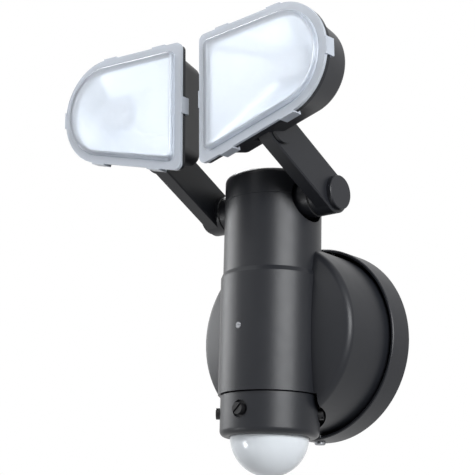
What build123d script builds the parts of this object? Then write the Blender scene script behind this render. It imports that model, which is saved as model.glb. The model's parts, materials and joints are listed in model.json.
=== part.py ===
from build123d import *
from math import acos, atan, atan2, cos, degrees, radians, sin, sqrt, tan
import os

# Twin-head security light with a motion sensor, for an outside wall.
# Millimetres. X to the viewer's right, -Y out of the wall, +Z up.
# The origin is the centre of the wall plate's back face.

os.makedirs("parts", exist_ok=True)

# Fits
seat = 0.05            # between round pieces of one body that seat on each other
running = 0.06         # radial play of a shaft in its hole
gap = 0.3              # between pieces that move past each other

# Wall plate: a shallow drum
plate_depth = 17.0
plate_wall = 1.6
plate_groove = 2.4     # between the plate's wall and the housing
plate_floor = 3.0
lip_bevel = 0.5
wall_screw_spacing = 83.5
wall_slot_width = 5.0
wall_slot_length = 10.0
slot_pad_margin = 3.0
slot_pad_height = 1.5
cable_hole_radius = 9.0
cable_radius = 4.0
grommet_lip = 2.0
grommet_lip_thickness = 1.4
foam_margin = 4.0      # in from the plate's edge
foam_width = 6.0
foam_thickness = 2.0
floor_rib_count = 4
floor_rib_start = 14.0  # from the plate's centre
floor_rib_margin = 3.6  # short of the rim seal
floor_rib_width = 2.0
floor_rib_height = 3.0

# Bayonet between the wall plate and the housing
catch_count = 3
catch_angle = 26.0
catch_start = 90.0     # the first catch, counted from +X
catch_thickness = 2.0
catch_depth = 9.5      # from the wall to the back of each catch
tongue_angle = 22.0
tongue_thickness = 2.0

# Housing: a domed can with an upright tower in its front
bowl_radius = 56.0
bowl_apex = 61.5       # wall to the middle of the domed face
bowl_curve = 250.0     # radius of the domed face
bowl_round = 4.5
wall = 2.4
rim_seal_thickness = 1.5
rim_seal_width = 2.4

tower_reach = 58.0     # wall to the tower's axis
tower_radius = 29.6
pivot_height = 79.4    # the crossbar's axis, and the seam of the tower cap
cap_height = 15.9      # above the pivot
cap_round = 3.0
seam_bevel = 0.4
notch_radius = 14.8    # opening in the tower's sides round the crossbar

cover_bottom = -38.0
cover_top = 35.0
cover_radius = 30.9
cover_thickness = 2.1
cover_bevel = 2.8
cover_bevel_in = 1.1
cover_screw_height = 0.0
cover_screw_head = 1.9
cover_screw_shank = 1.2
cover_screw_length = 9.0
cover_screw_proud = 0.4
cover_screw_slot = 0.6
screw_boss = 3.6

# Crossbar and arm pivots
bar_radius = 12.0
bar_half = 34.0
bar_bore = 8.0
bar_end_wall = 6.0
washer_thickness = 0.6
cradle_rib = 3.0
cradle_offset = 15.0
cradle_depth = 19.0
hub_web = 8.0
hub_recess_radius = 9.8
bolt_radius = 4.0
bolt_head_radius = 6.6
bolt_head_height = 3.2
spring_thickness = 1.0
spring_radius = 7.6
end_cap_radius = 10.2
end_cap_height = 3.1   # stands this far out of the arm
end_cap_plug = 2.2     # and reaches this far in
end_cap_wall = 1.4

# Arms
arm_angle = 26.4       # above level, as the arms stand at rest
arm_length = 60.0      # crossbar axis to head pin
blade_outer = 47.6
blade_thickness = 10.0
blade_half = 11.6      # half the blade's height
blade_drop = 0.2       # the blade's middle lies this far under the hub's
blade_bevel = 0.8

# Lamp heads, in each head's own plane: u outward from the flat side, v up
head_side = 7.2        # flat side to the light's middle
head_forward = 25.2    # head pin to the front of the lens flange
head_above = 17.4      # head pin to the middle of the flat side
head_toe_in = 2.6
head_tip_down = 2.6
flat_length = 77.6
end_u = 60.4           # centre of the round end
end_v = 8.3
end_radius = 32.5
lens_corner = 4.0
lens_flange = 2.0
crown_inset = 4.6
crown_height = 3.0
crown_draft = 18.0     # degrees
crown_bevel = 0.8
lens_wall = 1.8
clip_width = 10.0
clip_reach = 6.6       # how far the clips reach back over the rim
clip_thickness = 0.8
clip_hook = 1.0
clip_shares = (0.25, 0.95)   # along each sloping edge, from the flat side
rim_inset = 0.5
rim_depth = 5.0        # lens flange front to the back of the housing's rim
seal_thickness = 0.9
seal_inset = 1.6
seal_width = 2.2
shell_inset = 2.5      # housing behind the rim
shell_corner = 11.0
shell_depth = 28.5
shell_taper = 5.0
shell_wall = 2.0
shell_round = 4.0
trough_clearance = 0.4
trough_wall = 2.0
ear_outer_radius = 10.4
ear_inner_radius = 6.0
pin_radius = 2.5

# Reflector and light source
reflector_inset = 6.9
reflector_depth = 12.5
reflector_wall = 1.2
window_u = 48.0        # light window in the reflector's floor
window_width = 24.0
window_bottom = 0.0
window_height = 18.0
window_corner = 2.0
board_thickness = 1.6
board_margin = 2.5
chip_size = 3.0
chip_height = 0.7
chip_pitch = 4.6
chip_columns = 4
chip_rows = 3
diffuser_height = 2.0  # off the light source's board
diffuser_wall = 0.8
plate_thickness = 1.6
plate_margin = 4.0
post_radius = 2.2
plate_post_spread_u = 26.0
plate_post_spread_v = 19.0

# Sensor collar
collar_radius = 29.4
collar_bottom = -62.4
collar_wall = 2.2
collar_top_wall = 2.4
collar_round = 3.4
pocket_radius = 33.0   # room for the collar and its knobs in the housing
spigot_radius = 14.0
spigot_bore = 9.0
retainer_thickness = 1.8
retainer_lap = 2.4
dome_radius = 23.3
dome_lift = 0.7        # its centre above the collar's bottom
dome_wall = 0.9
dome_flange = 2.6
dome_flange_thickness = 1.5
sensor_board_radius = 24.0
sensor_board_top = -52.6
sensor_can_radius = 4.6
sensor_can_height = 4.2
sensor_post_spread = 19.5
sensor_post_angles = (90.0, 240.0, 330.0)

# Adjusting knobs round the collar, by their angle from the front
knob_angles = (-58.0, 2.0, 120.0)
knob_names = ("left", "front", "right")
knob_height = -48.4
knob_radius = 3.4
knob_recess = 5.2
knob_proud = 2.4
knob_sunk = 2.0
knob_slot_width = 1.3
knob_slot_depth = 1.1
knob_slot_turn = 45.0
knob_shaft = 1.8
knob_boss = 6.4
pot_size = 6.5
pot_depth = 4.0

# Inside the housing
driver_board_width = 74.0
driver_board_height = 50.0
driver_board_front = 36.0   # wall to the board's front face
driver_post_spread_x = 66.0
driver_post_spread_z = 42.0
driver_post_radius = 3.0
coil_size = 18.0
coil_depth = 12.0
capacitor_radius = 5.0
capacitor_length = 14.0
terminal_width = 30.0
terminal_height = 12.0
terminal_depth = 11.0
terminal_ways = 3
terminal_drop = 24.0
lock_screw_radius = 2.0
lock_screw_head = 3.4
lock_screw_head_height = 1.8
lock_screw_depth = 8.0
lock_screw_length = 7.0

# Worked out from the above
wall_face = Plane.XZ
tower_axis_y = -tower_reach
cap_top = pivot_height + cap_height
core_radius = cover_radius - cover_thickness - seat
washer_face = bar_half + washer_thickness
hub_inner = washer_face + running * 2
hub_recess = hub_inner + hub_web
blade_inner = blade_outer - blade_thickness
arm_forward = cos(radians(arm_angle))
arm_rise = sin(radians(arm_angle))
pin_y = tower_axis_y - arm_length * arm_forward - blade_drop * arm_rise
pin_z = pivot_height + arm_length * arm_rise - blade_drop * arm_forward
collar_top = cover_bottom - gap
bowl_back = plate_floor + rim_seal_thickness
bowl_inside = bowl_apex - wall
rim_radius = bowl_radius + plate_groove
plate_radius = rim_radius + plate_wall
foam_outer = plate_radius - foam_margin
seal_inner = bowl_radius - rim_seal_width
floor_rib_end = seal_inner - floor_rib_margin
catch_inner = bowl_radius + gap * 1.5
tongue_outer = rim_radius - gap * 1.5


# Features that add to, or cut from, the block that calls them

def upright(radius, bottom, top, mode=Mode.ADD):
    """A cylinder on the tower's axis."""
    with BuildSketch(Plane.XY.offset(bottom)) as base:
        with Locations((0, tower_axis_y)):
            Circle(radius)
    extrude(base.sketch, amount=top - bottom, mode=mode)


def level(radius, start, end, mode=Mode.ADD, y=tower_axis_y, z=pivot_height):
    """A cylinder along X, on the crossbar's axis unless told otherwise."""
    with BuildSketch(Plane.YZ.offset(start)) as base:
        with Locations((y, z)):
            Circle(radius)
    extrude(base.sketch, amount=end - start, mode=mode)


def disc(radius, back, front, mode=Mode.ADD, hole=0):
    """A disc or ring about the wall plate's axis, from one depth to another."""
    with BuildSketch(wall_face.offset(back)) as base:
        Circle(radius)
        if hole:
            Circle(hole, mode=Mode.SUBTRACT)
    extrude(base.sketch, amount=front - back, mode=mode)


def side_notches():
    """Openings in both sides of the tower, clear of the crossbar that passes through them."""
    inner = cradle_offset + cradle_rib / 2
    level(notch_radius, inner, tower_radius, Mode.SUBTRACT)
    level(notch_radius, -tower_radius, -inner, Mode.SUBTRACT)


def ring_tabs(inner, outer, angle, back, thickness, count, start):
    """Equal pieces of a ring about the wall plate's axis."""
    with BuildSketch(wall_face.offset(back)) as base:
        for index in range(count):
            first = start + index * 360 / count - angle / 2
            with BuildLine():
                outside = CenterArc((0, 0), outer, first, angle)
                inside = CenterArc((0, 0), inner, first, angle)
                Line(outside @ 0, inside @ 0)
                Line(outside @ 1, inside @ 1)
            make_face()
    extrude(base.sketch, amount=thickness)


def bowl(inset, mode=Mode.ADD):
    """The domed can with its round edge, or the space inside it when inset by its wall."""
    radius = bowl_radius - inset
    curve = bowl_curve - inset
    apex = bowl_apex - inset
    centre = curve - apex
    edge = centre - sqrt(curve**2 - radius**2)
    middle = centre - sqrt(curve**2 - (radius / 2)**2)
    with BuildSketch(Plane.XY) as section:
        with BuildLine():
            Line((0, -bowl_back), (radius, -bowl_back))
            Line((radius, -bowl_back), (radius, edge))
            ThreePointArc((radius, edge), (radius / 2, middle), (0, -apex))
            Line((0, -apex), (0, -bowl_back))
        make_face()
        if inset <= 0:
            front_corner = section.vertices().group_by(Axis.X)[-1].sort_by(Axis.Y)[0]
            fillet(front_corner, bowl_round - inset)
    revolve(section.sketch, axis=Axis.Y, mode=mode)


# --- Wall plate and what it carries ---

with BuildPart() as wall_plate:
    disc(plate_radius, 0, plate_depth)
    chamfer(wall_plate.edges().sort_by(Axis.Y)[0], lip_bevel)
    disc(rim_radius, plate_floor, plate_depth, Mode.SUBTRACT)
    disc(foam_outer, 0, foam_thickness, Mode.SUBTRACT, hole=foam_outer - foam_width)
    ring_tabs(catch_inner, rim_radius + plate_wall / 2, catch_angle,
              catch_depth, catch_thickness, catch_count, catch_start)
    with BuildSketch(wall_face.offset(plate_floor)):
        with GridLocations(wall_screw_spacing, 1, 2, 1):
            SlotOverall(wall_slot_length + 2 * slot_pad_margin, wall_slot_width + 2 * slot_pad_margin)
        Circle(seal_inner - gap, mode=Mode.INTERSECT)
    extrude(amount=slot_pad_height)
    with BuildSketch(wall_face.offset(plate_floor)):
        with PolarLocations((floor_rib_start + floor_rib_end) / 2, floor_rib_count,
                            start_angle=180 / floor_rib_count):
            Rectangle(floor_rib_end - floor_rib_start, floor_rib_width)
    extrude(amount=floor_rib_height)
    with BuildSketch(wall_face):
        with GridLocations(wall_screw_spacing, 1, 2, 1):
            SlotOverall(wall_slot_length, wall_slot_width)
    extrude(amount=plate_floor + slot_pad_height, mode=Mode.SUBTRACT)
    disc(cable_hole_radius, 0, plate_floor, Mode.SUBTRACT)
    with BuildSketch(Plane.XY.offset(-plate_radius - 1)):
        with Locations((0, -lock_screw_depth)):
            Circle(lock_screw_radius + gap)
    extrude(amount=plate_wall + 2, mode=Mode.SUBTRACT)
wall_plate.part.label = "wall_plate"
export_step(wall_plate.part, "parts/wall_plate.step")

with BuildPart() as wall_seal:
    disc(foam_outer - seat, 0, foam_thickness, hole=foam_outer - foam_width + seat)
wall_seal.part.label = "wall_seal"
export_step(wall_seal.part, "parts/wall_seal.step")

with BuildPart() as cable_grommet:
    disc(cable_hole_radius - seat, 0, plate_floor + grommet_lip_thickness)
    disc(cable_hole_radius + grommet_lip, plate_floor, plate_floor + grommet_lip_thickness)
    chamfer(cable_grommet.edges().sort_by(Axis.Y)[0], grommet_lip_thickness / 2)
    disc(cable_radius, 0, plate_floor + grommet_lip_thickness, Mode.SUBTRACT)
cable_grommet.part.label = "cable_grommet"
export_step(cable_grommet.part, "parts/cable_grommet.step")

with BuildPart() as rim_seal:
    disc(bowl_radius, plate_floor, bowl_back, hole=seal_inner)
rim_seal.part.label = "rim_seal"
export_step(rim_seal.part, "parts/rim_seal.step")

with BuildPart() as terminal_block:
    with BuildSketch(wall_face.offset(plate_floor)):
        with Locations((0, -terminal_drop)):
            Rectangle(terminal_width, terminal_height)
    extrude(amount=terminal_depth)
    way = terminal_width / terminal_ways
    with BuildSketch(wall_face.offset(plate_floor + terminal_depth)):
        with Locations((0, -terminal_drop)):
            with GridLocations(way, 1, terminal_ways - 1, 1):
                Rectangle(way / 12, terminal_height)
    extrude(amount=-terminal_depth / 2, mode=Mode.SUBTRACT)
    with BuildSketch(wall_face.offset(plate_floor + terminal_depth)):
        with Locations((0, -terminal_drop)):
            with GridLocations(way, 1, terminal_ways, 1):
                Circle(way / 4)
    extrude(amount=-terminal_depth / 3, mode=Mode.SUBTRACT)
terminal_block.part.label = "terminal_block"
export_step(terminal_block.part, "parts/terminal_block.step")


# --- Housing, front cover and tower cap ---

# The wall round the collar's pocket, kept within the domed can
with BuildPart() as pocket_wall:
    bowl(0)
    upright(pocket_radius + wall, -bowl_radius * 2, cover_bottom + wall, Mode.INTERSECT)

with BuildPart() as main_housing:
    bowl(0)
    upright(core_radius, cover_bottom, cover_top)
    upright(tower_radius, cover_top, pivot_height)
    bowl(wall, Mode.SUBTRACT)
    upright(core_radius - wall, cover_bottom + wall, pivot_height, Mode.SUBTRACT)
    add(pocket_wall.part)
    upright(pocket_radius, -bowl_radius * 2, cover_bottom, Mode.SUBTRACT)
    upright(spigot_radius, collar_top - collar_top_wall - gap, cover_bottom)
    upright(spigot_bore, collar_top - collar_top_wall - gap, cover_bottom + wall, Mode.SUBTRACT)
    # Ribs across the tower's mouth, which cradle the crossbar
    with BuildSketch(Plane.XY.offset(pivot_height)):
        with Locations((0, tower_axis_y)):
            with GridLocations(cradle_offset * 2, 1, 2, 1):
                Rectangle(cradle_rib, 2 * sqrt((tower_radius - wall / 2)**2 - cradle_offset**2) - 2)
    extrude(amount=-cradle_depth)
    level(bar_radius + seat, -tower_radius, tower_radius, Mode.SUBTRACT)
    side_notches()
    # Boss for the screw of the front cover
    with BuildSketch(wall_face.offset(tower_reach + core_radius - wall / 2)):
        with Locations((0, cover_screw_height)):
            Circle(screw_boss)
    extrude(amount=-cover_screw_length)
    with BuildSketch(wall_face.offset(tower_reach + core_radius)):
        with Locations((0, cover_screw_height)):
            Circle(cover_screw_shank)
    extrude(amount=-cover_screw_length, mode=Mode.SUBTRACT)
    # Posts for the driver board
    with BuildSketch(wall_face.offset(driver_board_front)):
        with GridLocations(driver_post_spread_x, driver_post_spread_z, 2, 2):
            Circle(driver_post_radius)
    extrude(amount=bowl_inside - wall * 2 / 3 - driver_board_front)
    # Tongues that turn in behind the wall plate's catches
    ring_tabs(bowl_radius - wall / 2, tongue_outer, tongue_angle,
              catch_depth - tongue_thickness - gap / 3, tongue_thickness, catch_count, catch_start)
    # Threaded boss for the lock screw, at the bottom of the can
    with BuildSketch(Plane.XY.offset(-bowl_radius + wall / 2)):
        with Locations((0, -lock_screw_depth)):
            Rectangle(3 * lock_screw_radius, 3 * lock_screw_radius)
    extrude(amount=lock_screw_length)
    with BuildSketch(Plane.XY.offset(-bowl_radius - 1)):
        with Locations((0, -lock_screw_depth)):
            Circle(lock_screw_radius + seat)
    extrude(amount=lock_screw_length + wall, mode=Mode.SUBTRACT)
main_housing.part.label = "main_housing"
export_step(main_housing.part, "parts/main_housing.step")

with BuildPart() as front_cover:
    upright(cover_radius, cover_bottom, cover_top)
    chamfer(front_cover.edges().sort_by(Axis.Z)[-1], cover_bevel_in, cover_bevel,
            reference=front_cover.faces().sort_by(Axis.Z)[-1])
    upright(cover_radius - cover_thickness, cover_bottom, cover_top, Mode.SUBTRACT)
    bowl(-seat, Mode.SUBTRACT)
    # Recess for the screw, square to the front
    with BuildSketch(wall_face.offset(tower_reach + core_radius)):
        with Locations((0, cover_screw_height)):
            Circle(cover_screw_shank + seat)
    extrude(amount=cover_thickness * 2, mode=Mode.SUBTRACT)
    with BuildSketch(wall_face.offset(tower_reach + cover_radius - cover_thickness / 2)):
        with Locations((0, cover_screw_height)):
            Circle(cover_screw_head + seat)
    extrude(amount=cover_thickness * 2, mode=Mode.SUBTRACT)
front_cover.part.label = "front_cover"
export_step(front_cover.part, "parts/front_cover.step")

with BuildPart() as cover_screw:
    with BuildSketch(wall_face.offset(tower_reach + cover_radius - cover_thickness / 2)):
        with Locations((0, cover_screw_height)):
            Circle(cover_screw_head)
    extrude(amount=cover_thickness / 2 + cover_screw_proud)
    chamfer(cover_screw.edges().sort_by(Axis.Y)[0], cover_screw_proud)
    with BuildSketch(wall_face.offset(tower_reach + cover_radius + cover_screw_proud)):
        with Locations((0, cover_screw_height)):
            Rectangle(cover_screw_head * 2, cover_screw_slot)
    extrude(amount=-cover_screw_slot, mode=Mode.SUBTRACT)
    with BuildSketch(wall_face.offset(tower_reach + cover_radius - cover_thickness / 2)):
        with Locations((0, cover_screw_height)):
            Circle(cover_screw_shank - seat)
    extrude(amount=-cover_screw_length + cover_thickness)
cover_screw.part.label = "cover_screw"
export_step(cover_screw.part, "parts/cover_screw.step")

with BuildPart() as tower_cap:
    upright(tower_radius, pivot_height, cap_top)
    fillet(tower_cap.edges().sort_by(Axis.Z)[-1], cap_round)
    chamfer(tower_cap.edges().sort_by(Axis.Z)[0], seam_bevel)
    upright(tower_radius - wall, pivot_height, cap_top - wall, Mode.SUBTRACT)
    with BuildSketch(Plane.XY.offset(pivot_height)):
        with Locations((0, tower_axis_y)):
            with GridLocations(cradle_offset * 2, 1, 2, 1):
                Rectangle(cradle_rib, 2 * sqrt((tower_radius - wall / 2)**2 - cradle_offset**2) - 2)
    extrude(amount=cap_height - wall / 2)
    level(bar_radius + seat, -tower_radius, tower_radius, Mode.SUBTRACT)
    side_notches()
tower_cap.part.label = "tower_cap"
export_step(tower_cap.part, "parts/tower_cap.step")

with BuildPart() as lock_screw:
    with BuildSketch(Plane.XY.offset(-plate_radius - lock_screw_head_height)):
        with Locations((0, -lock_screw_depth)):
            Circle(lock_screw_head)
    extrude(amount=lock_screw_head_height)
    chamfer(lock_screw.edges().sort_by(Axis.Z)[0], lock_screw_head_height / 3)
    with BuildSketch(Plane.XY.offset(-plate_radius)):
        with Locations((0, -lock_screw_depth)):
            Circle(lock_screw_radius)
    extrude(amount=lock_screw_length + plate_radius - bowl_radius)
lock_screw.part.label = "lock_screw"
export_step(lock_screw.part, "parts/lock_screw.step")

with BuildPart() as driver_board:
    with BuildSketch(wall_face.offset(driver_board_front - board_thickness)):
        Rectangle(driver_board_width, driver_board_height)
    extrude(amount=board_thickness)
    fillet(driver_board.edges().filter_by(Axis.Y), driver_post_radius)
driver_board.part.label = "driver_board"
export_step(driver_board.part, "parts/driver_board.step")

with BuildPart() as driver_parts:
    with BuildSketch(wall_face.offset(driver_board_front - board_thickness)):
        with Locations((-driver_board_width / 5, 0)):
            Rectangle(coil_size, coil_size)
    extrude(amount=-coil_depth)
    with BuildSketch(wall_face.offset(driver_board_front - board_thickness)):
        with Locations((driver_board_width / 5, 0)):
            with GridLocations(1, capacitor_radius * 3, 1, 2):
                Circle(capacitor_radius)
    extrude(amount=-capacitor_length)
driver_parts.part.label = "driver_parts"
export_step(driver_parts.part, "parts/driver_parts.step")

with BuildPart() as crossbar:
    level(bar_radius, -bar_half, bar_half)
    chamfer(crossbar.edges().group_by(Axis.X)[0] + crossbar.edges().group_by(Axis.X)[-1], seam_bevel)
    level(bar_bore, -bar_half + bar_end_wall, bar_half - bar_end_wall, Mode.SUBTRACT)
    level(bolt_radius + seat, -bar_half, bar_half, Mode.SUBTRACT)
crossbar.part.label = "crossbar"
export_step(crossbar.part, "parts/crossbar.step")


# --- Sensor collar ---

# A knob's plane, standing square to the collar's wall; x_dir runs round the collar
def knob_plane(angle, radius):
    turn = radians(angle)
    outward = Vector(sin(turn), -cos(turn), 0)
    origin = Vector(0, tower_axis_y, knob_height) + outward * radius
    return Plane(origin=origin, x_dir=(cos(turn), sin(turn), 0), z_dir=outward)


knob_floor = collar_radius - knob_sunk
board_bottom = sensor_board_top - board_thickness

with BuildPart() as sensor_collar:
    upright(collar_radius, collar_bottom, collar_top)
    fillet(sensor_collar.edges().sort_by(Axis.Z)[0], collar_round)
    chamfer(sensor_collar.edges().sort_by(Axis.Z)[-1], seam_bevel)
    upright(collar_radius - collar_wall, collar_bottom + collar_wall,
            collar_top - collar_top_wall, Mode.SUBTRACT)
    for angle in knob_angles:
        with BuildSketch(knob_plane(angle, collar_radius - collar_wall / 2)):
            Circle(knob_boss)
        extrude(amount=-knob_sunk - collar_wall / 2)
    upright(spigot_radius + running, collar_bottom, collar_top, Mode.SUBTRACT)
    upright(dome_radius + gap, collar_bottom, collar_bottom + collar_wall, Mode.SUBTRACT)
    for angle in knob_angles:
        with BuildSketch(knob_plane(angle, knob_floor)):
            Circle(knob_recess)
        extrude(amount=collar_radius, mode=Mode.SUBTRACT)
        with BuildSketch(knob_plane(angle, knob_floor)):
            Circle(knob_shaft + running)
        extrude(amount=-collar_wall * 3, mode=Mode.SUBTRACT)
    with BuildSketch(Plane.XY.offset(sensor_board_top)):
        with Locations((0, tower_axis_y)):
            for angle in sensor_post_angles:
                with PolarLocations(sensor_post_spread, 1, start_angle=angle):
                    Circle(post_radius)
    extrude(amount=collar_top - collar_top_wall - sensor_board_top + seat)
sensor_collar.part.label = "sensor_collar"
export_step(sensor_collar.part, "parts/sensor_collar.step")

with BuildPart() as collar_retainer:
    top = collar_top - collar_top_wall - gap
    upright(spigot_radius + retainer_lap, top - retainer_thickness, top)
    upright(spigot_bore, top - retainer_thickness, top, Mode.SUBTRACT)
collar_retainer.part.label = "collar_retainer"
export_step(collar_retainer.part, "parts/collar_retainer.step")

with BuildPart() as sensor_dome:
    flange_bottom = collar_bottom + collar_wall + seat
    with BuildSketch(Plane.XZ) as section:
        with BuildLine():
            outside = CenterArc((0, collar_bottom + dome_lift), dome_radius, -90, 90)
            inside = CenterArc((0, collar_bottom + dome_lift), dome_radius - dome_wall, -90, 90)
            Line(outside @ 0, inside @ 0)
            Polyline(outside @ 1, (dome_radius, flange_bottom),
                     (dome_radius + dome_flange, flange_bottom),
                     (dome_radius + dome_flange, flange_bottom + dome_flange_thickness),
                     (dome_radius - dome_wall, flange_bottom + dome_flange_thickness), inside @ 1)
        make_face()
    revolve(axis=Axis.Z)
sensor_dome.part = sensor_dome.part.moved(Location((0, tower_axis_y, 0)))
sensor_dome.part.label = "sensor_dome"
export_step(sensor_dome.part, "parts/sensor_dome.step")

with BuildPart() as sensor_board:
    upright(sensor_board_radius, board_bottom, sensor_board_top)
sensor_board.part.label = "sensor_board"
export_step(sensor_board.part, "parts/sensor_board.step")

with BuildPart() as motion_sensor:
    upright(sensor_can_radius, board_bottom - sensor_can_height, board_bottom)
    chamfer(motion_sensor.edges().sort_by(Axis.Z)[0], seam_bevel)
motion_sensor.part.label = "motion_sensor"
export_step(motion_sensor.part, "parts/motion_sensor.step")

pot_face = knob_floor - knob_sunk - collar_wall / 2
with BuildPart() as trim_pots:
    for angle in knob_angles:
        with BuildSketch(knob_plane(angle, pot_face - gap)):
            Rectangle(pot_size, pot_size)
        extrude(amount=-pot_depth)
        with BuildSketch(knob_plane(angle, pot_face - gap)):
            with Locations((0, (sensor_board_top - knob_height - pot_size / 2) / 2)):
                Rectangle(pot_size / 2, pot_size / 2 - sensor_board_top + knob_height - pot_size)
        extrude(amount=-pot_depth)
trim_pots.part.label = "trim_pots"
export_step(trim_pots.part, "parts/trim_pots.step")

for name, angle in zip(knob_names, knob_angles):
    with BuildPart() as knob:
        with BuildSketch(knob_plane(angle, knob_floor + gap)):
            Circle(knob_radius)
        extrude(amount=knob_sunk + knob_proud - gap)
        with BuildSketch(knob_plane(angle, collar_radius + knob_proud)):
            Rectangle(knob_radius * 2, knob_slot_width, rotation=knob_slot_turn)
        extrude(amount=-knob_slot_depth, mode=Mode.SUBTRACT)
        with BuildSketch(knob_plane(angle, knob_floor + gap)):
            Circle(knob_shaft)
        extrude(amount=-knob_sunk - collar_wall / 2 - gap * 1.5)
    knob.part.label = "knob_" + name
    export_step(knob.part, "parts/knob_" + name + ".step")


# --- Arms, made on the right and mirrored ---

arm_plane = Plane(origin=(blade_outer, tower_axis_y, pivot_height),
                  x_dir=(0, -arm_forward, arm_rise), z_dir=(-1, 0, 0))

with BuildPart() as arm_hub:
    level(bar_radius, hub_inner, blade_outer)
    chamfer(arm_hub.edges().sort_by(Axis.X)[0], seam_bevel)
    chamfer(arm_hub.edges().sort_by(Axis.X)[-1], blade_bevel)

with BuildPart() as arm:
    with BuildSketch(arm_plane):
        with Locations((arm_length / 2, -blade_drop)):
            SlotCenterToCenter(arm_length, blade_half * 2)
    extrude(amount=blade_thickness)
    chamfer(arm.faces().filter_by(Axis.X).edges(), blade_bevel)
    add(arm_hub.part)
    level(hub_recess_radius, hub_recess, blade_outer, Mode.SUBTRACT)
    level(bolt_radius + running, hub_inner, hub_recess, Mode.SUBTRACT)
    level(pin_radius + running, blade_inner, blade_outer, Mode.SUBTRACT, pin_y, pin_z)

with BuildPart() as arm_cap:
    level(end_cap_radius, blade_outer, blade_outer + end_cap_height)
    chamfer(arm_cap.edges().sort_by(Axis.X)[-1], seam_bevel)
    level(hub_recess_radius - seat, blade_outer - end_cap_plug, blade_outer)
    level(hub_recess_radius - end_cap_wall, blade_outer - end_cap_plug,
          blade_outer + end_cap_height - end_cap_wall, Mode.SUBTRACT)

with BuildPart() as arm_washer:
    level(bar_radius - seam_bevel, bar_half, washer_face)
    level(bolt_radius + seat, bar_half, washer_face, Mode.SUBTRACT)

with BuildPart() as arm_spring:
    level(spring_radius, hub_recess + running, hub_recess + spring_thickness)
    level(bolt_radius + seat, hub_recess, hub_recess + spring_thickness, Mode.SUBTRACT)

with BuildPart() as arm_bolt:
    level(bolt_radius, bar_half - bar_end_wall, hub_recess + spring_thickness)
    with BuildSketch(Plane.YZ.offset(hub_recess + spring_thickness)):
        with Locations((tower_axis_y, pivot_height)):
            RegularPolygon(bolt_head_radius, 6)
    extrude(amount=bolt_head_height)


# --- Lamp heads, made on the right and mirrored ---

head_plane = Plane(origin=(head_side, pin_y - head_forward, pin_z + head_above),
                   x_dir=Vector(1, 0, 0).rotate(Axis.Z, -head_toe_in),
                   z_dir=Vector(0, -1, 0).rotate(Axis.X, head_tip_down).rotate(Axis.Z, -head_toe_in))


def edge_line(side):
    """The upper (1) or lower (-1) edge: its outward turn, and its distance from the flat side's middle."""
    corner_v = side * (flat_length / 2 - lens_corner)
    run_u = end_u - lens_corner
    run_v = end_v - corner_v
    turn = atan2(run_v, run_u) + side * acos((lens_corner - end_radius) / sqrt(run_u**2 + run_v**2))
    reach = lens_corner * cos(turn) + corner_v * sin(turn) + lens_corner
    return turn, reach


def edge_point(side, share):
    """A place along the upper (1) or lower (-1) edge: u, v and the outward turn in degrees."""
    turn, reach = edge_line(side)
    start = side * (lens_corner * sin(turn) - side * (flat_length / 2 - lens_corner) * cos(turn))
    end = side * (end_u * sin(turn) - end_v * cos(turn))
    along = start + share * (end - start)
    u = reach * cos(turn) + side * along * sin(turn)
    v = reach * sin(turn) - side * along * cos(turn)
    return u, v, degrees(turn)


def outline(inset, corner, depth):
    """The lamp's outline, flat on its inner side, at a depth behind the flange."""
    corners = []
    for side in (1, -1):
        turn, reach = edge_line(side)
        u = inset + corner
        corners.append((u, (reach - u - u * cos(turn)) / sin(turn)))
    with BuildSketch(head_plane.offset(-depth)) as shape:
        with Locations(*corners):
            Circle(corner)
        with Locations((end_u, end_v)):
            Circle(end_radius - inset)
        make_hull()
    return shape.sketch


def window(margin, depth):
    """The reflector's light window, grown by a margin."""
    radius = window_height / 2 + margin
    middle = window_bottom + window_height / 2
    corner = window_corner + margin
    with BuildSketch(head_plane.offset(-depth)) as shape:
        with Locations((window_u - margin + corner, middle + radius - corner),
                       (window_u - margin + corner, middle - radius + corner)):
            Circle(corner)
        with Locations((window_u + window_width - window_height / 2, middle)):
            Circle(radius)
        make_hull()
    return shape.sketch


trough_front = pin_y - blade_half - trough_clearance
trough_ceiling = pin_z + blade_half + trough_clearance
trough_inner = blade_inner - trough_clearance
trough_outer = blade_outer + trough_clearance
trough_width = trough_outer - trough_inner
crown_side = crown_height - crown_bevel
crown_lean = crown_side * tan(radians(crown_draft))
spreader_front = reflector_depth + seat + board_thickness
shell_draft = degrees(atan(shell_taper / (shell_depth - rim_depth + 1)))

clip_places = [(0, 0, 180), (end_u + end_radius, end_v, 0)]
clip_places += [edge_point(side, share) for side in (1, -1) for share in clip_shares]

with BuildPart() as lens:
    extrude(outline(0, lens_corner, 0), amount=-lens_flange)
    extrude(outline(crown_inset, lens_corner, 0), amount=crown_side, taper=crown_draft)
    extrude(outline(crown_inset + crown_lean, lens_corner - crown_lean, -crown_side),
            amount=crown_bevel, taper=45)
    extrude(outline(crown_inset + lens_wall, lens_corner - 1, lens_flange),
            amount=lens_flange + crown_height - lens_wall, taper=crown_draft, mode=Mode.SUBTRACT)
    for u, v, turn in clip_places:
        with BuildSketch(head_plane):
            with Locations(Location((u, v, 0), (0, 0, turn))):
                with Locations(((clip_thickness - rim_inset + gap) / 2, 0)):
                    Rectangle(clip_thickness + rim_inset - gap, clip_width)
        extrude(amount=-clip_reach)
        with BuildSketch(head_plane.offset(-rim_depth - seat)):
            with Locations(Location((u, v, 0), (0, 0, turn))):
                with Locations(((clip_thickness - clip_hook - rim_inset) / 2, 0)):
                    Rectangle(clip_thickness + clip_hook + rim_inset, clip_width)
        extrude(amount=rim_depth + seat - clip_reach)

with BuildPart() as seal:
    extrude(outline(seal_inset, lens_corner - 1, lens_flange), amount=-seal_thickness)
    extrude(outline(seal_inset + seal_width, lens_corner - 1, lens_flange),
            amount=-seal_thickness, mode=Mode.SUBTRACT)

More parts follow.
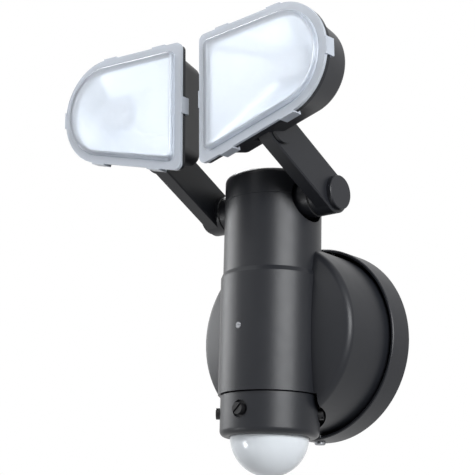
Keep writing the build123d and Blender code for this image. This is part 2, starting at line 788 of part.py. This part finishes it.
def trough(grow, back, bottom, mode):
    """The slot in the housing's back and underside that the arm's end works in."""
    with BuildSketch(Plane.YZ.offset(trough_inner - grow)) as side:
        with BuildLine():
            front = trough_front - grow
            ceiling = trough_ceiling + grow
            Polyline((front, pin_z), (front, bottom), (back, bottom), (back, ceiling), (pin_y, ceiling))
            RadiusArc((pin_y, ceiling), (front, pin_z), -(ceiling - pin_z))
        make_face()
    extrude(side.sketch, amount=trough_width + 2 * grow, mode=mode)


# The housing's full body, without its hollow, which also bounds the slot's walls
with BuildPart() as shell_body:
    extrude(outline(shell_inset, shell_corner, rim_depth - 1),
            amount=rim_depth - 1 - shell_depth, taper=shell_draft)
    fillet(shell_body.faces().sort_by(Axis.Y)[-1].edges(), shell_round)

with BuildPart() as trough_box:
    add(shell_body.part)
    trough(trough_wall, 0, 0, Mode.INTERSECT)

with BuildPart() as shell:
    add(shell_body.part)
    extrude(outline(rim_inset, lens_corner, lens_flange), amount=-(rim_depth - lens_flange))
    extrude(outline(shell_inset + shell_wall, shell_corner - shell_wall, lens_flange),
            amount=lens_flange + shell_wall - shell_depth, taper=shell_draft, mode=Mode.SUBTRACT)
    extrude(outline(seal_inset - seat, lens_corner - 1, lens_flange),
            amount=-seal_thickness - seat, mode=Mode.SUBTRACT)
    with BuildSketch(head_plane.offset(-spreader_front - plate_thickness)):
        with Locations((window_u + window_width / 2, window_bottom + window_height / 2)):
            with GridLocations(plate_post_spread_u, plate_post_spread_v, 2, 2):
                Circle(post_radius)
    extrude(amount=spreader_front + plate_thickness + shell_wall / 2 - shell_depth)
    add(trough_box.part)
    level(ear_inner_radius, trough_inner - trough_wall, trough_inner, Mode.ADD, pin_y, pin_z)
    level(ear_outer_radius, trough_outer, trough_outer + trough_wall, Mode.ADD, pin_y, pin_z)
    trough(0, 0, 0, Mode.SUBTRACT)
    level(pin_radius + seat, trough_inner - trough_wall, trough_outer + trough_wall,
          Mode.SUBTRACT, pin_y, pin_z)

with BuildPart() as reflector:
    loft([outline(reflector_inset, lens_corner, lens_flange + seat),
          window(reflector_wall, reflector_depth)], ruled=True)
    loft([outline(reflector_inset + reflector_wall, lens_corner - 1, lens_flange + seat),
          window(0, reflector_depth)], ruled=True, mode=Mode.SUBTRACT)

with BuildPart() as led_board:
    extrude(window(board_margin, reflector_depth + seat), amount=-board_thickness)

with BuildPart() as led_chips:
    with BuildSketch(head_plane.offset(-reflector_depth - seat)):
        with Locations((window_u + window_width / 2 - 1, window_bottom + window_height / 2)):
            with GridLocations(chip_pitch, chip_pitch, chip_columns, chip_rows):
                Rectangle(chip_size, chip_size)
    extrude(amount=chip_height)

with BuildPart() as diffuser:
    extrude(window(-seat * 2, reflector_depth + seat), amount=diffuser_height)
    extrude(window(-diffuser_wall, reflector_depth + seat), amount=diffuser_height - diffuser_wall,
            mode=Mode.SUBTRACT)

with BuildPart() as heat_plate:
    extrude(window(plate_margin, spreader_front), amount=-plate_thickness)

with BuildPart() as tilt_pin:
    level(pin_radius, trough_inner - trough_wall, trough_outer + trough_wall, Mode.ADD, pin_y, pin_z)

handed = {
    "arm": arm, "arm_cap": arm_cap, "arm_washer": arm_washer, "arm_spring": arm_spring,
    "arm_bolt": arm_bolt, "lamp_lens": lens, "lamp_seal": seal, "lamp_housing": shell,
    "lamp_reflector": reflector, "lamp_diffuser": diffuser, "led_board": led_board, "led_chips": led_chips,
    "heat_plate": heat_plate, "tilt_pin": tilt_pin,
}
for name, piece in handed.items():
    right = piece.part
    right.label = name + "_right"
    export_step(right, "parts/" + right.label + ".step")
    left = mirror(right, about=Plane.YZ)
    left.label = name + "_left"
    export_step(left, "parts/" + left.label + ".step")
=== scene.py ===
import json
from math import cos, radians, sin

import bpy
from mathutils import Matrix, Vector

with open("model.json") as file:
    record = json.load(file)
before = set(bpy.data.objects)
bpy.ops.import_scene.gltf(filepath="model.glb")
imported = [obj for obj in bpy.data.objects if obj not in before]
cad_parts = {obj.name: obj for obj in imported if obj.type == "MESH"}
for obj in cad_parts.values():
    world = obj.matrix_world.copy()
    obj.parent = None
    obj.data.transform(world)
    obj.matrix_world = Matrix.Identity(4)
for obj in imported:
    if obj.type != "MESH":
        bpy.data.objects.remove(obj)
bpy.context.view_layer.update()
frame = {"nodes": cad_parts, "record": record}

nodes = frame["nodes"]
scene = bpy.context.scene


# --- Node helpers ---

materials = {}


def new_material(name):
    """A material with one Principled shader, kept by its name: its node tree and the shader."""
    material = bpy.data.materials.new(name)
    material.use_nodes = True
    materials[name] = material
    tree = material.node_tree
    return tree, tree.nodes["Principled BSDF"]


def noise(tree, size, detail=2.0):
    """Noise with features of about a size in metres, fixed to the object."""
    place = tree.nodes.new("ShaderNodeTexCoord")
    texture = tree.nodes.new("ShaderNodeTexNoise")
    texture.inputs["Scale"].default_value = 1 / size
    texture.inputs["Detail"].default_value = detail
    tree.links.new(place.outputs["Object"], texture.inputs["Vector"])
    return texture.outputs["Fac"]


def spread(tree, value, first, second, start=0.0, end=1.0):
    """A value that runs from start to end, carried to the range from first to second."""
    node = tree.nodes.new("ShaderNodeMapRange")
    node.inputs["From Min"].default_value = start
    node.inputs["From Max"].default_value = end
    node.inputs["To Min"].default_value = first
    node.inputs["To Max"].default_value = second
    tree.links.new(value, node.inputs["Value"])
    return node.outputs["Result"]


def blend(tree, value, first, second):
    """A colour between two, by a value from 0 to 1."""
    node = tree.nodes.new("ShaderNodeMix")
    node.data_type = "RGBA"
    node.inputs["A"].default_value = (*first, 1)
    node.inputs["B"].default_value = (*second, 1)
    tree.links.new(value, node.inputs["Factor"])
    return node.outputs["Result"]


def calculate(tree, operation, first, second):
    """A Math node on an output and either another output or a number."""
    node = tree.nodes.new("ShaderNodeMath")
    node.operation = operation
    tree.links.new(first, node.inputs[0])
    if isinstance(second, float):
        node.inputs[1].default_value = second
    else:
        tree.links.new(second, node.inputs[1])
    return node.outputs["Value"]


def bump(tree, shader, height, depth):
    """Bump of a depth in metres on a shader."""
    node = tree.nodes.new("ShaderNodeBump")
    node.inputs["Distance"].default_value = depth
    node.inputs["Strength"].default_value = 1
    tree.links.new(height, node.inputs["Height"])
    tree.links.new(node.outputs["Normal"], shader.inputs["Normal"])


# --- Materials ---

# Noise stays mostly between these two values
noise_low = 0.3
noise_high = 0.7

# The right head's cover: a point on its flange's front, and the way it faces. The frosting is whole
# up to a distance in front of that, and gone from another on.
flange_front = Vector((0.0072, -0.137, 0.1233))
toe_in = radians(2.6)
tip_down = radians(2.6)
cover_normal = Vector((-sin(toe_in) * cos(tip_down), -cos(toe_in) * cos(tip_down), -sin(tip_down)))
frosted_to = 0.0006
clear_from = 0.0010


def surface(name, dark, light, rough, grain=0.0006, depth=0.00002, metal=0.0, specular=0.5, patch=0.02):
    """A finish with slight patches of tone, an uneven gloss and a fine grain.

    Its colour varies from dark to light, and its roughness between the two values of rough. The
    sizes of a patch and of the grain, and the grain's depth, are in metres.
    """
    tree, shader = new_material(name)
    tone = noise(tree, patch, detail=3)
    gloss = noise(tree, patch / 3, detail=4)
    tree.links.new(blend(tree, tone, dark, light), shader.inputs["Base Color"])
    tree.links.new(spread(tree, gloss, *rough, noise_low, noise_high), shader.inputs["Roughness"])
    bump(tree, shader, noise(tree, grain), depth)
    shader.inputs["Metallic"].default_value = metal
    shader.inputs["Specular IOR Level"].default_value = specular


def flange_share(tree):
    """0 on a cover's crown and 1 on the flange behind it, alike on both heads, which mirror each other."""
    place = tree.nodes.new("ShaderNodeTexCoord")
    parts = tree.nodes.new("ShaderNodeSeparateXYZ")
    mirrored = tree.nodes.new("ShaderNodeMath")
    mirrored.operation = "ABSOLUTE"
    joined = tree.nodes.new("ShaderNodeCombineXYZ")
    reach = tree.nodes.new("ShaderNodeVectorMath")
    reach.operation = "DOT_PRODUCT"
    reach.inputs[1].default_value = cover_normal
    tree.links.new(place.outputs["Object"], parts.inputs["Vector"])
    tree.links.new(parts.outputs["X"], mirrored.inputs[0])
    tree.links.new(mirrored.outputs["Value"], joined.inputs["X"])
    tree.links.new(parts.outputs["Y"], joined.inputs["Y"])
    tree.links.new(parts.outputs["Z"], joined.inputs["Z"])
    tree.links.new(joined.outputs["Vector"], reach.inputs[0])
    flange_reach = flange_front.dot(cover_normal)
    return spread(tree, reach.outputs["Value"], 0.0, 1.0,
                  start=flange_reach + clear_from, end=flange_reach + frosted_to)


def clear_cover(name, tint, frosted, rough, frosted_clearness, ior, lamp_light, ripple, depth):
    """A cover's moulding, clear over the light and frosted on its flange.

    rough holds the clear part's roughness and the frosted part's. The lamps also shine straight
    through, in the colour lamp_light.
    """
    tree, shader = new_material(name)
    edge = flange_share(tree)
    tree.links.new(blend(tree, edge, tint, frosted), shader.inputs["Base Color"])
    tree.links.new(spread(tree, edge, 1.0, frosted_clearness), shader.inputs["Transmission Weight"])
    tree.links.new(spread(tree, edge, *rough), shader.inputs["Roughness"])
    shader.inputs["IOR"].default_value = ior
    bump(tree, shader, noise(tree, ripple, detail=1), depth)
    path = tree.nodes.new("ShaderNodeLightPath")
    lamps = tree.nodes.new("ShaderNodeBsdfTransparent")
    lamps.inputs["Color"].default_value = (*lamp_light, 1)
    mix = tree.nodes.new("ShaderNodeMixShader")
    tree.links.new(path.outputs["Is Shadow Ray"], mix.inputs["Fac"])
    tree.links.new(shader.outputs["BSDF"], mix.inputs[1])
    tree.links.new(lamps.outputs["BSDF"], mix.inputs[2])
    tree.links.new(mix.outputs["Shader"], tree.nodes["Material Output"].inputs["Surface"])


def milky_lens(name, dark, light, rough, scatter, scatter_depth, patch, grain, depth):
    """The thin translucent moulding of the sensor's lens, with a faint grain."""
    tree, shader = new_material(name)
    tree.links.new(blend(tree, noise(tree, patch), dark, light), shader.inputs["Base Color"])
    shader.inputs["Roughness"].default_value = rough
    shader.inputs["Subsurface Weight"].default_value = scatter
    shader.inputs["Subsurface Radius"].default_value = (scatter_depth,) * 3
    shader.inputs["Subsurface Scale"].default_value = 1
    bump(tree, shader, noise(tree, grain, detail=1), depth)


# Seen from outside
surface("charcoal_plastic", (0.0075, 0.0082, 0.0105), (0.0105, 0.0113, 0.014), (0.38, 0.41),
        grain=0.0004, depth=0.00001, specular=0.25)
surface("black_plastic", (0.004, 0.004, 0.0045), (0.007, 0.007, 0.008), (0.4, 0.5),
        grain=0.0005, depth=0.00001, specular=0.3)
surface("black_rubber", (0.008, 0.008, 0.008), (0.014, 0.014, 0.014), (0.6, 0.8),
        depth=0.00003, specular=0.3)
surface("foam", (0.02, 0.02, 0.02), (0.04, 0.04, 0.04), (0.85, 0.98),
        grain=0.001, depth=0.00015, specular=0.2)
surface("screw_steel", (0.18, 0.185, 0.195), (0.25, 0.255, 0.27), (0.3, 0.45),
        grain=0.0004, depth=0.00001, metal=1.0)
clear_cover("clear_cover", tint=(0.90, 0.915, 0.93), frosted=(0.45, 0.48, 0.53), rough=(0.33, 0.36),
            frosted_clearness=0.35, ior=1.46, lamp_light=(0.36, 0.37, 0.38), ripple=0.03, depth=0.00006)
milky_lens("sensor_lens", (0.64, 0.68, 0.72), (0.68, 0.72, 0.76), rough=0.16,
           scatter=0.45, scatter_depth=0.008, patch=0.015, grain=0.0012, depth=0.00001)

# Seen through the covers
surface("reflector_white", (0.70, 0.75, 0.82), (0.76, 0.80, 0.86), (0.20, 0.26),
        grain=0.003, metal=0.2, specular=0.8, patch=0.04)
surface("diffuser_opal", (0.72, 0.76, 0.82), (0.77, 0.80, 0.86), (0.35, 0.42), grain=0.003, patch=0.04)

# Inside
surface("sensor_can", (0.45, 0.45, 0.45), (0.6, 0.6, 0.6), (0.2, 0.35),
        grain=0.0005, depth=0.000005, metal=1.0)
surface("heat_aluminium", (0.5, 0.51, 0.52), (0.62, 0.63, 0.65), (0.3, 0.5), depth=0.00001, metal=1.0)
surface("circuit_board", (0.015, 0.09, 0.035), (0.03, 0.14, 0.06), (0.3, 0.45), grain=0.001)
surface("white_board", (0.7, 0.7, 0.69), (0.78, 0.78, 0.77), (0.35, 0.5), grain=0.001)
surface("led_yellow", (0.75, 0.5, 0.08), (0.85, 0.6, 0.12), (0.3, 0.5))
surface("terminal_cream", (0.5, 0.47, 0.38), (0.6, 0.57, 0.48), (0.4, 0.55))
surface("component_grey", (0.03, 0.03, 0.035), (0.06, 0.06, 0.065), (0.4, 0.6))

for row in frame["record"]["subparts"]:
    piece = nodes[row["node"]]
    piece.data.materials.clear()
    piece.data.materials.append(materials[row["material_slot"]])


# --- Camera, set where the photograph was taken from ---

# Where the lens stands, and the photograph's right and upward directions
view_from = Vector((0.4816, -0.6615, -0.1453))
view_right = Vector((0.76767, 0.64043, 0.02328))
view_up = Vector((0.14651, -0.21075, 0.96651))
sensor_width = 36.0
frame_pixels = 475
focal_pixels = 1309.0

camera_data = bpy.data.cameras.new("camera")
camera_data.sensor_width = sensor_width
camera_data.lens = sensor_width * focal_pixels / frame_pixels
camera = bpy.data.objects.new("camera", camera_data)
right = view_right.normalized()
back = right.cross(view_up).normalized()
up = back.cross(right)
turn = Matrix((right, up, back)).transposed()
camera.matrix_world = Matrix.Translation(view_from) @ turn.to_4x4()
scene.collection.objects.link(camera)
scene.camera = camera


# --- Background, floor and lights ---

sky_colour = (0.95, 0.97, 1)
sky_strength = 0.15

floor_height = -1.2
floor_size = 8.0
floor_dark = (0.62, 0.62, 0.62)
floor_light = (0.66, 0.66, 0.66)
floor_patch = 0.3
floor_rough = 0.9
floor_glow = 0.8     # share of the white background

lamp_aim = Vector((0, -0.06, 0.03))
lamp_distance = 1.15
lamp_colour = (0.97, 0.985, 1)


def seen_white(tree):
    """1 for the camera's rays and those that gloss and clear pieces send on, and 0 for the rest."""
    path = tree.nodes.new("ShaderNodeLightPath")
    seen = path.outputs["Is Camera Ray"]
    for kind in ("Is Glossy Ray", "Is Transmission Ray"):
        seen = calculate(tree, "MAXIMUM", seen, path.outputs[kind])
    # A ray that has left a dull surface would light it, also through a clear piece
    before_dull = calculate(tree, "LESS_THAN", path.outputs["Diffuse Depth"], 1.0)
    return calculate(tree, "MULTIPLY", seen, before_dull)


def pale_world():
    """A white background, and a dim sky that lights the object."""
    world = bpy.data.worlds.new("studio")
    world.use_nodes = True
    tree = world.node_tree
    sky = tree.nodes["Background"]
    sky.inputs["Color"].default_value = (*sky_colour, 1)
    sky.inputs["Strength"].default_value = sky_strength
    backdrop = tree.nodes.new("ShaderNodeBackground")
    backdrop.inputs["Color"].default_value = (1, 1, 1, 1)
    backdrop.inputs["Strength"].default_value = 1
    mix = tree.nodes.new("ShaderNodeMixShader")
    tree.links.new(seen_white(tree), mix.inputs["Fac"])
    tree.links.new(sky.outputs["Background"], mix.inputs[1])
    tree.links.new(backdrop.outputs["Background"], mix.inputs[2])
    tree.links.new(mix.outputs["Shader"], tree.nodes["World Output"].inputs["Surface"])
    scene.world = world


def pale_floor():
    """A plain floor well below the object, nearly as white as the background, that keeps its shadow."""
    bpy.ops.mesh.primitive_plane_add(size=floor_size, location=(0, 0, floor_height))
    plane = bpy.context.object
    plane.name = "floor"
    tree, shader = new_material("pale_floor")
    tone = blend(tree, noise(tree, floor_patch), floor_dark, floor_light)
    tree.links.new(tone, shader.inputs["Base Color"])
    shader.inputs["Roughness"].default_value = floor_rough
    glow = tree.nodes.new("ShaderNodeEmission")
    both = tree.nodes.new("ShaderNodeAddShader")
    tree.links.new(calculate(tree, "MULTIPLY", seen_white(tree), floor_glow), glow.inputs["Strength"])
    tree.links.new(shader.outputs["BSDF"], both.inputs[0])
    tree.links.new(glow.outputs["Emission"], both.inputs[1])
    tree.links.new(both.outputs["Shader"], tree.nodes["Material Output"].inputs["Surface"])
    plane.data.materials.append(materials["pale_floor"])


def softbox(name, azimuth, elevation, width, height, power):
    """An area light aimed at the tower, its power in watts; azimuth is from the front, towards the right."""
    side = radians(azimuth)
    rise = radians(elevation)
    offset = Vector((sin(side) * cos(rise), -cos(side) * cos(rise), sin(rise)))
    data = bpy.data.lights.new(name, "AREA")
    data.shape = "RECTANGLE"
    data.size = width
    data.size_y = height
    data.energy = power
    data.color = lamp_colour
    lamp = bpy.data.objects.new(name, data)
    lamp.location = lamp_aim + offset * lamp_distance
    lamp.rotation_euler = offset.to_track_quat("Z", "Y").to_euler()
    scene.collection.objects.link(lamp)


pale_world()
pale_floor()
softbox("right_key", azimuth=69, elevation=12, width=0.8, height=0.45, power=21)
softbox("left_key", azimuth=-72, elevation=12, width=0.8, height=0.45, power=8)
softbox("left_rear", azimuth=-110, elevation=50, width=0.42, height=0.42, power=8)
softbox("low_left", azimuth=-40, elevation=-24, width=0.25, height=0.25, power=3)
softbox("high_front", azimuth=30, elevation=50, width=0.42, height=0.42, power=2)
softbox("front_fill", azimuth=-30, elevation=38, width=0.8, height=0.4, power=6.5)

scene.view_settings.view_transform = "Standard"
